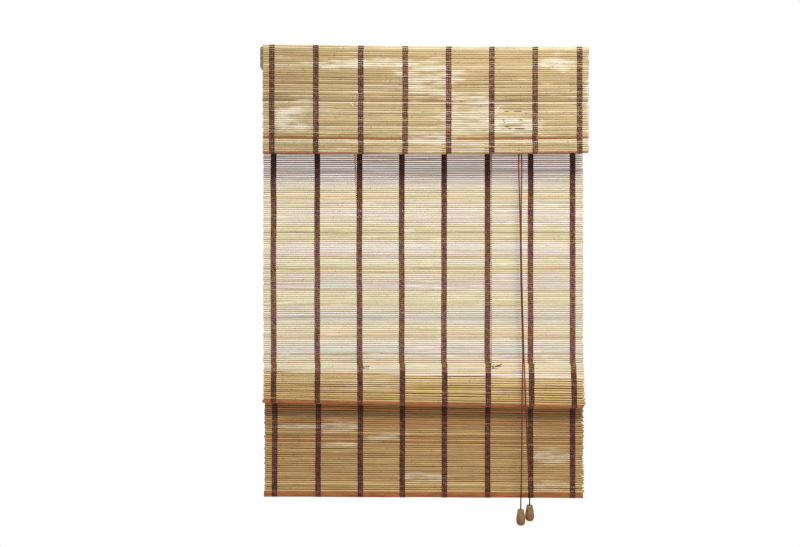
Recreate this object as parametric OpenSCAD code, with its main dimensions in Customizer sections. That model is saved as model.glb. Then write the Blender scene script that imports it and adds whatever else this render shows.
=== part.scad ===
// Woven bamboo reed blind with a valance, hung from a wooden headrail and drawn up by two cords.
// Millimetres. X runs along the rail, -Y faces the room, +Z is up.
// The origin is the middle of the rail's top face, between its two fixing holes.

/* [Reed mat] */
// Width of the mats along the reeds
mat_w = 600; // [400:5:1200]
// Spacing of the reeds
reed_pitch = 4; // [3:0.1:6]
// Thickness of a reed, front to back
reed_t = 2; // [1.4:0.1:3]
// Share of the spacing that a reed's flat crest takes
crest_share = 0.6; // [0.4:0.02:0.8]
// Plain length at each end of the reeds, past the open gaps
reed_end = 5; // [3:0.5:15]
// Share of the spacing left open between reeds
gap_share = 0.3; // [0.1:0.01:0.35]

/* [Warp bands] */
// Number of brown warp bands across the mat
band_count = 8; // [4:1:14]
// Width of a band
band_w = 10.5; // [5:0.5:16]
// Thickness of the yarn on each face of the mat
band_t = 0.6; // [0.4:0.1:1]
// Middle of the outer band from the mat's edge
band_edge = 17; // [10:0.5:40]

/* [Headrail] */
// Length that the rail stands out past the mat at each end
rail_over = 1; // [0:0.5:20]
// Height of the rail
rail_h = 42; // [36:1:70]
// Depth of the rail
rail_d = 25; // [22:1:40]
// Radius of the front top edge that the valance lies round
rail_edge_r = 8; // [7:0.5:10]
// Radius of the corners at the rail's ends
rail_end_r = 4; // [2:0.5:10]
// Fixing holes in from the rail's ends
fix_inset = 51; // [25:1:150]
// Radius of a fixing hole
fix_r = 2.25; // [1.5:0.25:3]

/* [Hanging lengths] */
// Lower edge of the valance below the rail's top
valance_drop = 200; // [130:1:300]
// Sideways offset of the valance on the rail
valance_shift = 4; // [-8:0.5:8]
// Line below the rail's top where the lift cords are tied
tie_drop = 591; // [450:1:1400]
// Height of the pleat, from the tie line to its folded edge
pleat_h = 79; // [60:1:140]
// Hidden top of the tail below the tie line
tail_top = 21.5; // [20:0.5:50]
// Lower edge of the tail below the pleat's folded edge
tail_drop = 176; // [90:1:400]

/* [Slats] */
// Height of the slat in the pleat's edge
pleat_slat_h = 3; // [2.5:0.1:16]
// Height of the slat in the lower edge
bottom_slat_h = 7.2; // [4:0.1:20]
// Height of the slat in the valance's edge
hem_slat_h = 2.6; // [2:0.1:6]

/* [Cords] */
// Diameter of a cord
cord_d = 2.4; // [1.6:0.1:2.6]
// Screw eyes in from the mat's side edges
eye_inset = 169; // [160:1:190]
// Left tie in from the mat's left edge
tie_left_inset = 186.5; // [182:0.5:200]
// Right tie in from the mat's right edge
tie_right_inset = 171; // [165:0.5:173]
// Height of a tassel
tassel_h = 29; // [20:1:45]
// Largest radius of a tassel
tassel_r = 8.4; // [6:0.1:8.4]

/* [Cord lock] */
// Line where the cords drop out of the lock, in from the mat's right edge
lock_inset = 118.5; // [60:0.5:125]
// Depth of the housing between its side plates
lock_in = 13.6; // [12:0.2:16]
// Thickness of the sheet steel
lock_t = 1.2; // [0.8:0.1:2]
// Radius of the fixed guide bar
guide_r = 4; // [3:0.5:5]
// Radius of the knurled pinch roller
pinch_r = 3.4; // [3:0.1:4]
// Travel of the pinch roller up its slots
pinch_travel = 5; // [3:0.5:6]

/* [Hidden] */
$fn = 32;
reed_wood = [0.82, 0.70, 0.47];
slat_wood = [0.70, 0.43, 0.19];
yarn = [0.36, 0.23, 0.19];
cord_brown = [0.50, 0.25, 0.18];
rail_wood = [0.78, 0.66, 0.46];
tassel_wood = [0.62, 0.49, 0.30];
steel = [0.70, 0.70, 0.68];

// Half thicknesses of the mat: a reed's crest, the valley between reeds, the yarn's outside
crest = reed_t / 2;
valley = reed_t / 5;
skin = crest + band_t;
gap = gap_share * reed_pitch;
rail_len = mat_w + 2 * rail_over;
fix_spacing = rail_len - 2 * fix_inset;
eye_x = mat_w / 2 - eye_inset;
lock_x = mat_w / 2 - lock_inset;
band_step = (mat_w - 2 * band_edge) / (band_count - 1);
band_xs = [for (i = [0 : band_count - 1]) -mat_w / 2 + band_edge + i * band_step];
slot_w = mat_w - 2 * reed_end;

// Named clearances and set-backs of the mats
mat_air = 0.05;
pleat_out = 8;
loop_lean = 4.6;
back_short = 4;
top_short = 2;
tie_short = 1;
behind_valance = 20;

// Middle surfaces of the hanging mats, front to back
valance_y = -rail_d / 2 - skin - mat_air;
main_y = rail_d / 2 + skin;
pleat_y = main_y - pleat_out;
fold_r = 1.4 * skin;
top_r = 1.8 * skin;
inner_y = pleat_y + 2 * fold_r;
loop_y = inner_y + loop_lean;
tail_y = loop_y + 2 * top_r;
back_y = tail_y + 2 * fold_r;

// Heights
main_top = -top_short;
main_n = round((tie_drop - tie_short - top_short) / reed_pitch);
tie_z = main_top - main_n * reed_pitch;
fold_z = tie_z - pleat_h;
turn_z = fold_z + skin + fold_r;
pleat_slat_z = turn_z + pleat_slat_h;
loop_z = tie_z - tail_top - skin - top_r;
bottom_z = fold_z - tail_drop;
hem_z = bottom_z + skin + fold_r;
bottom_slat_z = hem_z + bottom_slat_h;
back_end_z = loop_z - back_short;
rail_under = -rail_h;
valance_z = -valance_drop;

// A path is a list of [y, z] points, and its run is the length up to each point
function run(p) = [for (i = 0, s = 0; i < len(p);
    s = s + (i < len(p) - 1 ? norm(p[i + 1] - p[i]) : 0), i = i + 1) s];
function arc(c, r, a0, a1, n) = [for (i = [0 : n]) c + r * [cos(a0 + (a1 - a0) * i / n),
    sin(a0 + (a1 - a0) * i / n)]];
function leg(c, s) = max([for (i = [0 : len(c) - 2]) if (i == 0 || c[i] <= s + 0.0001) i]);
function unit(v) = v / norm(v);
// Point at length s along the path, h to its right hand
function at(p, c, s, h) = let (k = leg(c, s), d = unit(p[k + 1] - p[k]))
    p[k] + (s - c[k]) * d + h * [-d.y, d.x];
// One face of a mat: each reed is a flat crest, with a valley up to the next
function ridges(p, c, n, h, s0, s1) = let (step = c[len(c) - 1] / n, e = crest_share / 2)
    [for (i = [0 : n - 1], j = [0 : (i < n - 1 ? 2 : 1)])
        let (s = (i + [0.5 - e, 0.5 + e, 1][j]) * step)
            if (s >= s0 && s <= s1) at(p, c, s, h * [crest, crest, valley][j])];
// The same face left smooth, where it is folded out of sight
function smooth(p, c, n, h) = let (step = c[len(c) - 1] / n, e = crest_share / 2)
    [for (i = [0 : n]) at(p, c, i == 0 ? (0.5 - e) * step : i == n ? (n - 0.5 + e) * step
        : i * step, h * crest)];
function back(v) = [for (i = [len(v) - 1 : -1 : 0]) v[i]];
// A turn's corner points pushed out by h square to the path
function edge(p, h) = [for (i = [0 : len(p) - 1]) let (
        a = unit(p[max(i, 1)] - p[max(i, 1) - 1]),
        b = unit(p[min(i + 1, len(p) - 1)] - p[min(i + 1, len(p) - 1) - 1]),
        m = unit(a + b))
    p[i] + h / (m * a) * [-m.y, m.x]];

// A ridged face with the path's points of one turn left plain between its legs
function turned(p, c, n, h, t) = let (e = edge(p, h * crest)) concat(
    ridges(p, c, n, h, 0, c[t[0]]), [for (i = [t[0] : t[1]]) e[i]],
    ridges(p, c, n, h, c[t[1]], c[len(c) - 1]));
function face(p, c, n, h, ridged, t) = ridged == 0 ? smooth(p, c, n, h)
    : len(t) > 0 ? turned(p, c, n, h, t) : ridges(p, c, n, h, 0, c[len(c) - 1]);

// Middle lines of the mats
valance_arc = arc([-rail_d / 2 + rail_edge_r, -rail_edge_r], rail_edge_r + skin + mat_air, 138, 180, 6);
valance_line = concat(valance_arc, [[valance_y, valance_z + hem_slat_h]]);
main_line = [[main_y, main_top], [main_y, tie_z]];
pleat_head = [main_y, tie_z - gap];
pleat_foot = [pleat_y, pleat_slat_z];
front_line = [pleat_head, pleat_foot - gap / 2 * unit(pleat_foot - pleat_head)];
loop_line = concat([[inner_y, turn_z], [loop_y, loop_z]],
    arc([loop_y + top_r, loop_z], top_r, 165, 0, 6), [[tail_y, bottom_slat_z + gap / 2]]);
back_line = [[back_y, hem_z], [back_y, back_end_z]];
// The warp follows the whole lower mat, round both slats
warp_line = concat(
    [pleat_head, pleat_foot, [pleat_y, turn_z]],
    arc([pleat_y + fold_r, turn_z], fold_r, 210, 330, 4),
    [[inner_y, turn_z], [loop_y, loop_z]],
    arc([loop_y + top_r, loop_z], top_r, 165, 0, 6),
    [[tail_y, hem_z]],
    arc([tail_y + fold_r, hem_z], fold_r, 210, 330, 4),
    [[back_y, hem_z], [back_y, back_end_z]]);

module along_x(w, x = 0) {
    translate([x - w / 2, 0, 0])
        rotate([90, 0, 90])
            linear_extrude(height = w)
                children();
}

// A ridged sheet; a smooth side is 0 and a ridged side is 1, and a turn is its first and last points
module sheet(p, front = 1, rear = 1, front_turn = [], rear_turn = []) {
    c = run(p);
    n = max(2, round(c[len(c) - 1] / reed_pitch));
    f = face(p, c, n, -1, front, front_turn);
    r = face(p, c, n, 1, rear, rear_turn);
    along_x(mat_w)
        polygon(concat(f, back(r)));
}

// The yarn on both faces of a mat, at each band
module bands(p) {
    for (x = band_xs, h = [-1, 1])
        along_x(band_w, x)
            polygon(concat(edge(p, h * crest), back(edge(p, h * skin))));
}

// Open gaps between the reeds from z0 down to z1, closed at the reeds' ends
module gaps(y, top, z0, z1) {
    for (i = [ceil((top - z0) / reed_pitch) : floor((top - z1) / reed_pitch)])
        translate([-slot_w / 2, y - skin, top - i * reed_pitch - gap / 2])
            cube([slot_w, 2 * skin, gap]);
}

// The bare wooden batten that carries everything
module headrail() {
    color(rail_wood)
        difference() {
            intersection() {
                along_x(rail_len)
                    rail_section();
                translate([0, rail_d, 0])
                    rotate([90, 0, 0])
                        linear_extrude(height = 2 * rail_d)
                            rail_face();
            }
            for (x = [-1, 1] * fix_spacing / 2)
                translate([x, 0, -rail_h - 1])
                    cylinder(r = fix_r, h = rail_h + 2);
            for (x = [-1, 1] * eye_x)
                translate([x, cord_mid_y, rail_under - 1])
                    cylinder(r = eye_shank_r + 0.05, h = eye_shank_l + 1);
            for (x = lock_screw_xs)
                translate([x, cord_mid_y, rail_under - 1])
                    cylinder(r = screw_r + 0.05, h = screw_l + 1);
        }
}

module rail_section() {
    translate([-rail_d / 2, -rail_h])
        square([rail_d, rail_h - rail_edge_r]);
    translate([-rail_d / 2 + rail_edge_r, -rail_h])
        square([rail_d - rail_edge_r, rail_h]);
    translate([-rail_d / 2 + rail_edge_r, -rail_edge_r])
        circle(r = rail_edge_r);
}

module rail_face() {
    translate([-rail_len / 2, -rail_h + rail_end_r])
        square([rail_len, rail_h - 2 * rail_end_r]);
    translate([-rail_len / 2 + rail_end_r, -rail_h])
        square([rail_len - 2 * rail_end_r, rail_h]);
    for (x = [-1, 1] * (rail_len / 2 - rail_end_r), z = [-rail_h + rail_end_r, -rail_end_r])
        translate([x, z])
            circle(r = rail_end_r);
}

// Short mat over the rail's front, its top end laid round the front edge
module valance_mat() {
    color(reed_wood)
        translate([valance_shift, 0, 0])
            difference() {
                sheet(valance_line, rear_turn = [0, len(valance_arc) - 1]);
                valance_gaps();
            }
}

// The reeds of the valance stand a little closer or wider than the pitch, so the gaps follow them
module valance_gaps() {
    c = run(valance_line);
    whole = c[len(c) - 1];
    n = round(whole / reed_pitch);
    step = whole / n;
    for (i = [1 : n - 1])
        let (z = at(valance_line, c, i * step, 0).y)
            if (z < rail_under - reed_pitch)
                translate([-slot_w / 2, valance_y - skin, z - gap / 2])
                    cube([slot_w, 2 * skin, gap]);
}

module valance_bands() {
    color(yarn)
        translate([valance_shift, 0, 0])
            bands(concat(valance_arc, [[valance_y, valance_z]]));
}

module valance_slat() {
    color(slat_wood)
        slat(valance_y, valance_z + hem_slat_h, hem_slat_h, valance_shift);
}

// A flat strip of darker bamboo woven in as a wide reed, its top edge at z
module slat(y, z, h, x = 0) {
    translate([x - mat_w / 2, y - crest, z - h])
        cube([mat_w, reed_t, h - gap / 4]);
}

// A slat at a fold, its lower edge eased to lie in the turn of the warp
module fold_slat(y, z, h) {
    r = fold_r * cos(15) + crest - mat_air;
    along_x(mat_w)
        polygon(concat([[y + crest, z - gap / 4], [y - crest, z - gap / 4], [y - crest, z - h]],
            arc([y + fold_r, z - h], r, 195, 180 + acos((fold_r - crest) / r), 5)));
}

// Single mat behind the rail, down to the line where the lift cords are tied
module main_mat() {
    color(reed_wood)
        difference() {
            sheet(main_line);
            gaps(main_y, main_top, valance_z + behind_valance, tie_z + reed_pitch);
            for (s = [-1, 1])
                translate([pierce_x(s), main_y - skin, pierce_z])
                    rotate([-90, 0, 0])
                        cylinder(r = pierce_r, h = 2 * skin);
        }
}

module main_bands() {
    color(yarn)
        bands(main_line);
}

// The pleat, the hidden loop behind it and the doubled tail
module lower_mat() {
    color(reed_wood) {
        difference() {
            sheet(front_line);
            for (x = tie_xs)
                translate([x, 0, tie_z - tie_down])
                    rotate([-90, 0, 0])
                        cylinder(r = pierce_r, h = back_y);
        }
        sheet(loop_line, 1, 0, front_turn = [1, len(loop_line) - 2]);
        sheet(back_line, 1, 0);
    }
}

module lower_bands() {
    color(yarn)
        bands(warp_line);
}

module pleat_slat() {
    color(slat_wood)
        fold_slat(pleat_y, pleat_slat_z, pleat_slat_h);
}

module bottom_slat() {
    color(slat_wood)
        fold_slat(tail_y, bottom_slat_z, bottom_slat_h);
}

// Wire screw eye under the rail that turns a lift cord along it
eye_wire = 0.9;
eye_ring = 5.4;
eye_air = 0.4;
eye_shank_r = 1.3;
eye_shank_l = 12;
eye_z = rail_under - eye_air - eye_ring - eye_wire;
module screw_eye(x) {
    color(steel)
        translate([x, cord_mid_y, 0]) {
            translate([0, 0, eye_z])
                rotate([0, 90, -45])
                    rotate_extrude()
                        translate([eye_ring, 0])
                            circle(r = eye_wire, $fn = 16);
            translate([0, 0, eye_z + eye_ring])
                cylinder(r = eye_shank_r, h = rail_under - eye_z - eye_ring + eye_shank_l - 0.5);
            translate([0, 0, rail_under - 0.8])
                cylinder(r = 2.2, h = 0.8);
        }
}

module screw_eye_left() {
    screw_eye(-eye_x);
}

module screw_eye_right() {
    screw_eye(eye_x);
}

// Folded steel housing of the cord lock, screwed under the rail
cord_mid_y = -3;
cord_r = cord_d / 2;
cord_air = 0.1;
lock_h = 24;
lock_tab = 10;
lock_x0 = lock_x - 13;
lock_x1 = lock_x + 17;
lock_screw_xs = [lock_x0 - lock_tab / 2, lock_x1 + lock_tab / 2];
screw_r = 1.4;
screw_l = 10;
bar_bend = guide_r + cord_r + cord_air;
guide_x = lock_x - bar_bend;
guide_z = rail_under - lock_t - 9.3;
guide_end_r = 1.5;
pinch_x = lock_x + cord_r + 0.3 + pinch_r;
pinch_z = guide_z - 1.5;
pinch_end_r = 1.4;
slot_r = pinch_end_r + 0.3;
slot_tilt = 30;
module lock_housing() {
    color(steel)
        difference() {
            union() {
                translate([lock_x0 - lock_tab, cord_mid_y - lock_in / 2 - lock_t, rail_under - lock_t])
                    cube([lock_x1 - lock_x0 + 2 * lock_tab, lock_in + 2 * lock_t, lock_t]);
                for (y = [-lock_in / 2 - lock_t, lock_in / 2])
                    translate([lock_x0, cord_mid_y + y, rail_under - lock_h])
                        cube([lock_x1 - lock_x0, lock_t, lock_h]);
                translate([lock_x1 - lock_t, cord_mid_y - lock_in / 2, rail_under - lock_h])
                    cube([lock_t, lock_in, lock_h]);
            }
            translate([pinch_x, cord_mid_y, pinch_z])
                rotate([0, slot_tilt, 0])
                    pinch_slot();
            translate([guide_x, cord_mid_y, guide_z])
                lying(guide_end_r, 2 * lock_in);
            for (x = lock_screw_xs)
                translate([x, cord_mid_y, rail_under - 2 * lock_t])
                    cylinder(r = screw_r + 0.1, h = 4 * lock_t);
        }
}

// A cylinder along Y about its middle
module lying(r, l) {
    rotate([90, 0, 0])
        cylinder(r = r, h = l, center = true);
}

module pinch_slot() {
    lying(slot_r, 2 * lock_in);
    translate([0, 0, pinch_travel])
        lying(slot_r, 2 * lock_in);
    translate([-slot_r, -lock_in, 0])
        cube([2 * slot_r, 2 * lock_in, pinch_travel]);
}

// Fixed bar that the cords bend over, its ends riveted in the side plates
module guide_bar() {
    color(steel)
        translate([guide_x, cord_mid_y, guide_z]) {
            lying(guide_r, lock_in);
            lying(guide_end_r, lock_in + 2 * lock_t);
        }
}

// Knurled roller that drops against the cords and pinches them
module pinch_roller() {
    color(steel)
        translate([pinch_x, cord_mid_y, pinch_z]) {
            lying(pinch_r, lock_in - 1.2);
            lying(pinch_end_r, lock_in + 2 * lock_t + 1);
        }
}

module lock_screws() {
    color(steel)
        for (x = lock_screw_xs)
            translate([x, cord_mid_y, rail_under]) {
                translate([0, 0, -lock_t - 1.6])
                    cylinder(r = 2.8, h = 1.6);
                translate([0, 0, -lock_t - 1])
                    cylinder(r = screw_r, h = screw_l + lock_t + 0.5);
            }
}

// Cords are round tubes through hand laid route points
cord_sides = 8;
left_y = -4.5;
right_y = -1.5;
rail_run_z = guide_z + bar_bend;
eye_run_z = rail_run_z - 0.4;
join_x = guide_x - 2.5;
lift_y = main_y + skin + cord_r + 0.3;
pierce_z = rail_under - 8;
pierce_r = cord_r + 0.4;
tie_down = 6;
lift_bend = 2.5;
eye_bend = 4;
tie_left_x = tie_left_inset - mat_w / 2;
tie_right_x = mat_w / 2 - tie_right_inset;
tie_xs = [tie_left_x, tie_right_x];
tassel_left_x = lock_x;
tassel_right_x = lock_x + 17;
tassel_left_z = bottom_z - 13.5;
tassel_right_z = bottom_z - 6.5;

// The cord comes through the mat a little to the left of its eye and bends to the right in it
function pierce_x(s) = s * eye_x - 1.5;
function lift_route(s, x, y) = [[x, lift_y, tie_z - tie_down + 3],
    [x, lift_y, tie_z - tie_down + 7],
    [pierce_x(s), lift_y, pierce_z - 20],
    [pierce_x(s), lift_y, pierce_z - lift_bend],
    [pierce_x(s), lift_y - 0.29 * lift_bend, pierce_z - 0.29 * lift_bend],
    [pierce_x(s), lift_y - lift_bend, pierce_z],
    [pierce_x(s), main_y - skin - cord_r, pierce_z],
    [pierce_x(s), y + eye_bend, eye_run_z],
    [pierce_x(s) + 0.29 * eye_bend, y + 0.29 * eye_bend, eye_run_z],
    [pierce_x(s) + eye_bend, y, eye_run_z],
    [s * eye_x + 20, y, rail_run_z],
    [join_x - 8, y, rail_run_z],
    [join_x, y, rail_run_z]];
function drop_route(y) = concat([[join_x, y, rail_run_z]],
    [for (a = [90 : -22.5 : 0]) [guide_x + bar_bend * cos(a), y, guide_z + bar_bend * sin(a)]],
    [[lock_x, y, rail_under - lock_h]]);
function left_hang(d) = [[lock_x - 4, left_y, rail_under - 0.22 * d],
    [lock_x - 2.5, left_y, rail_under - 0.28 * d],
    [lock_x - 0.5, left_y, rail_under - 0.38 * d],
    [lock_x + 0.5, left_y, rail_under - 0.49 * d],
    [lock_x + 4, left_y, rail_under - 0.65 * d],
    [lock_x + 2.5, left_y, rail_under - 0.75 * d],
    [lock_x + 1.5, left_y, rail_under - 0.92 * d]];
function right_hang(d) = [[lock_x + 2.5, right_y, rail_under - 0.22 * d],
    [lock_x + 1.5, right_y, rail_under - 0.28 * d],
    [lock_x + 1, right_y, rail_under - 0.38 * d],
    [lock_x + 2.5, right_y, rail_under - 0.49 * d],
    [lock_x + 6, right_y, rail_under - 0.65 * d],
    [lock_x + 10, right_y, rail_under - 0.77 * d],
    [lock_x + 15, right_y, rail_under - 0.94 * d]];
left_route = concat(drop_route(left_y), left_hang(rail_under - tassel_left_z),
    [[tassel_left_x, left_y, tassel_left_z + 12], [tassel_left_x, left_y, tassel_left_z]]);
right_route = concat(drop_route(right_y), right_hang(rail_under - tassel_right_z),
    [[tassel_right_x, right_y, tassel_right_z + 12], [tassel_right_x, right_y, tassel_right_z]]);

function cross_dir(d) = unit(cross(d, abs(d.z) > 0.7 ? [0, 1, 0] : [0, 0, 1]));
module tube(route, r) {
    m = len(route);
    ring = [for (i = [0 : m - 1]) let (
            a = unit(route[max(i, 1)] - route[max(i, 1) - 1]),
            b = unit(route[min(i + 1, m - 1)] - route[min(i + 1, m - 1) - 1]),
            d = unit(a + b),
            u = cross_dir(d),
            v = cross(d, u))
        for (k = [0 : cord_sides - 1])
            route[i] + r * (u * cos(360 * k / cord_sides) + v * sin(360 * k / cord_sides))];
    walls = [for (i = [0 : m - 2], k = [0 : cord_sides - 1]) let (
            j = (k + 1) % cord_sides, p = i * cord_sides, q = p + cord_sides)
        [p + k, q + k, q + j, p + j]];
    ends = [[for (k = [0 : cord_sides - 1]) k],
        [for (k = [cord_sides - 1 : -1 : 0]) (m - 1) * cord_sides + k]];
    polyhedron(points = ring, faces = concat(walls, ends), convexity = 6);
}

module lift_cord_left() {
    color(cord_brown)
        tube(lift_route(-1, tie_left_x, left_y), cord_r);
}

module lift_cord_right() {
    color(cord_brown)
        tube(lift_route(1, tie_right_x, right_y), cord_r);
}

module pull_cord_left() {
    color(cord_brown)
        tube(left_route, cord_r);
}

module pull_cord_right() {
    color(cord_brown)
        tube(right_route, cord_r);
}

// The lift cord's end, drawn through the mat and knotted with its tail in front
module tie_knot(x, l, rise) {
    y0 = main_y - skin - cord_r - 1;
    color(cord_brown)
        tube([[x, lift_y, tie_z - tie_down + 3],
            [x, lift_y, tie_z - tie_down + 2],
            [x, lift_y - 0.6, tie_z - tie_down + 0.6],
            [x, lift_y - 2, tie_z - tie_down],
            [x, y0 + 3, tie_z - tie_down],
            [x + 1, y0 + 0.8, tie_z - tie_down],
            [x + 4, y0, tie_z - tie_down],
            [x + l, y0, tie_z - tie_down + rise]], cord_r);
}

module tie_knot_left() {
    tie_knot(tie_left_x, 13.5, 1);
}

module tie_knot_right() {
    tie_knot(tie_right_x, 19, 5);
}

// Turned wooden pull, bored for the cord with a pocket for its knot
knot_r = 2.8;
knot_h = 4;
pocket_r = 3.6;
pocket_h = 9;
module tassel(x, y, z) {
    color(tassel_wood)
        translate([x, y, z - tassel_h])
            difference() {
                rotate_extrude()
                    tassel_profile();
                translate([0, 0, -1])
                    cylinder(r = pocket_r, h = pocket_h + 1);
                cylinder(r = cord_r + 0.35, h = tassel_h + 1);
            }
}

module tassel_profile() {
    belly = 0.36 * tassel_h;
    intersection() {
        polygon([[0, 0], [tassel_r, 0], [tassel_r, belly], [0.94 * tassel_r, belly + 4],
            [0.7 * tassel_r, tassel_h - 0.6], [0.62 * tassel_r, tassel_h], [0, tassel_h]]);
        union() {
            translate([0, belly])
                circle(r = tassel_r);
            translate([0, belly])
                square([tassel_r, tassel_h - belly]);
            square([0.62 * tassel_r, belly]);
        }
    }
}

module tassel_left() {
    tassel(tassel_left_x, left_y, tassel_left_z);
}

module tassel_right() {
    tassel(tassel_right_x, right_y, tassel_right_z);
}

// The cord inside a tassel and the knot that bears on the pocket's shoulder
module tassel_knot(x, y, z) {
    color(cord_brown)
        translate([x, y, z - tassel_h + pocket_h]) {
            translate([0, 0, -knot_h])
                cylinder(r = knot_r, h = knot_h);
            translate([0, 0, -1])
                cylinder(r = cord_r, h = tassel_h - pocket_h + 1);
        }
}

module tassel_knot_left() {
    tassel_knot(tassel_left_x, left_y, tassel_left_z);
}

module tassel_knot_right() {
    tassel_knot(tassel_right_x, right_y, tassel_right_z);
}

headrail();
valance_mat();
valance_bands();
valance_slat();
main_mat();
main_bands();
lower_mat();
lower_bands();
pleat_slat();
bottom_slat();
screw_eye_left();
screw_eye_right();
lock_housing();
guide_bar();
pinch_roller();
lock_screws();
lift_cord_left();
lift_cord_right();
pull_cord_left();
pull_cord_right();
tie_knot_left();
tie_knot_right();
tassel_left();
tassel_right();
tassel_knot_left();
tassel_knot_right();
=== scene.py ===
import math

import bpy
import numpy as np
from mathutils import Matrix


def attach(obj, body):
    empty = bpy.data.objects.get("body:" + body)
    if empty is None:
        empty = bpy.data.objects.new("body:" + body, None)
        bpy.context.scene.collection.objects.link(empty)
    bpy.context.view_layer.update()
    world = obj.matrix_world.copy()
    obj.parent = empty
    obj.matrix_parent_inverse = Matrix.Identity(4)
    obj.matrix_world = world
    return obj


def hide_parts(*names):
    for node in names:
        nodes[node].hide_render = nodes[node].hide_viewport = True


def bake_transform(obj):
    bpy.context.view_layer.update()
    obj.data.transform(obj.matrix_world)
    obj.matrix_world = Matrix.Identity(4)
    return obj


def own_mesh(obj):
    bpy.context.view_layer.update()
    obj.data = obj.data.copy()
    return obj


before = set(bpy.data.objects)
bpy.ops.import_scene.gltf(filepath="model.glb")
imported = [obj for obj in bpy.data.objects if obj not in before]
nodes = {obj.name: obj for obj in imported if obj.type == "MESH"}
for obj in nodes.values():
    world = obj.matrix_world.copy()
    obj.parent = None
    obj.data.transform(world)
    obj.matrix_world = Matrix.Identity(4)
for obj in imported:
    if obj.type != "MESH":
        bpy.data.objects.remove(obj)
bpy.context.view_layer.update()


# Headrail: a bare planed softwood batten, screwed up into the window head through its two holes.
# The main mat is stapled to it, the valance is taken to be glued to it,
# and the screw eyes and the cord lock are screwed under it.
def set_inputs(tree, node, inputs):
    """Links each input of a node to the socket given, or sets it to the value given."""
    for name, value in inputs.items():
        if isinstance(value, bpy.types.NodeSocket):
            tree.links.new(value, node.inputs[name])
        else:
            node.inputs[name].default_value = value


def add_node(tree, kind, inputs=None, **settings):
    """A node with its settings made and its inputs linked or set."""
    node = tree.nodes.new(kind)
    for setting, value in settings.items():
        setattr(node, setting, value)
    set_inputs(tree, node, inputs or {})
    return node


def new_material(name):
    """A material, its node tree and the tree's Principled shader."""
    material = bpy.data.materials.new(name)
    material.use_nodes = True
    tree = material.node_tree
    return material, tree, tree.nodes["Principled BSDF"]


def paint(hex_colour):
    """An sRGB hex colour as linear red, green and blue, with full alpha."""
    parts = [int(hex_colour[i : i + 2], 16) / 255 for i in (1, 3, 5)]
    return [p / 12.92 if p <= 0.04045 else ((p + 0.055) / 1.055) ** 2.4 for p in parts] + [1]


def ramp(tree, factor, stops):
    """The colour at a factor, on a ramp with the stops given as (place, sRGB hex)."""
    node = add_node(tree, "ShaderNodeValToRGB", {"Fac": factor})
    elements = node.color_ramp.elements
    while len(elements) < len(stops):
        elements.new(0.5)
    for element, (place, colour) in zip(elements, stops):
        element.position = place
        element.color = paint(colour)
    return node.outputs["Color"]


def tinted(tree, colour, factor, amount):
    """The colour given, darkened and lightened by a factor that runs about 0.5."""
    vary = add_node(tree, "ShaderNodeMapRange", {
        "Value": factor, "From Min": 0.25, "From Max": 0.75, "To Min": 1 - amount, "To Max": 1 + amount,
    })
    mix = add_node(
        tree, "ShaderNodeMix", {"Factor": 1, "A": colour, "B": vary.outputs["Result"]},
        data_type="RGBA", blend_type="MULTIPLY",
    )
    return mix.outputs["Result"]


def bump(tree, height, depth, strength=0.6):
    """A normal, bumped by the height given."""
    node = add_node(tree, "ShaderNodeBump", {"Strength": strength, "Distance": depth, "Height": height})
    return node.outputs["Normal"]


def object_place(tree):
    """The object coordinates of a piece."""
    return add_node(tree, "ShaderNodeTexCoord").outputs["Object"]


# Long grain shared by the rail, the reeds, the slats and the split shadows: fine fibre lines along X and
# slow patches over them.
grain = bpy.data.node_groups.new("long_grain", "ShaderNodeTree")
for socket in ("Fibre scale", "Patch scale"):
    grain.interface.new_socket(socket, in_out="INPUT", socket_type="NodeSocketFloat")
for socket in ("Fibre", "Patch"):
    grain.interface.new_socket(socket, in_out="OUTPUT", socket_type="NodeSocketFloat")
grain_in = add_node(grain, "NodeGroupInput")
grain_out = add_node(grain, "NodeGroupOutput")
grain_place = object_place(grain)
for socket, stretch in (("Fibre", (0.02, 1.0, 1.0)), ("Patch", (0.16, 1.0, 1.0))):
    lengthened = add_node(grain, "ShaderNodeMapping", {"Vector": grain_place, "Scale": stretch})
    noise = add_node(grain, "ShaderNodeTexNoise", {
        "Vector": lengthened.outputs["Vector"], "Scale": grain_in.outputs[f"{socket} scale"],
        "Detail": 5, "Roughness": 0.6,
    })
    set_inputs(grain, grain_out, {socket: noise.outputs["Fac"]})


def add_grain(tree, fibre_scale, patch_scale):
    """The long grain group placed in a material."""
    scales = {"Fibre scale": fibre_scale, "Patch scale": patch_scale}
    return add_node(tree, "ShaderNodeGroup", scales, node_tree=grain).outputs


def coat(name, material):
    """Gives a piece of the CAD its material."""
    nodes[name].data.materials.clear()
    nodes[name].data.materials.append(material)


rail_pine, tree, shader = new_material("rail_pine")
pine = add_grain(tree, 900, 160)
planed = ramp(tree, pine["Patch"], [(0.30, "#9C8358"), (0.50, "#C4A878"), (0.72, "#D6BE92")])
# Its two ends are painted grey: painted shade where the ends lie in shadow.
rail_x = add_node(tree, "ShaderNodeSeparateXYZ", {"Vector": object_place(tree)}).outputs["X"]
from_middle = add_node(tree, "ShaderNodeMath", {0: rail_x}, operation="ABSOLUTE").outputs["Value"]
at_end = add_node(tree, "ShaderNodeMapRange", {
    "Value": from_middle, "From Min": 0.2940, "From Max": 0.2985,
})
end_painted_shade = add_node(
    tree, "ShaderNodeMix", {"Factor": at_end.outputs["Result"], "A": planed, "B": paint("#6E6B58")},
    data_type="RGBA",
)
set_inputs(tree, shader, {
    "Base Color": tinted(tree, end_painted_shade.outputs["Result"], pine["Fibre"], 0.18),
    "Roughness": 0.7,
    "Normal": bump(tree, pine["Fibre"], 0.0004),
})
coat("headrail", rail_pine)


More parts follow.
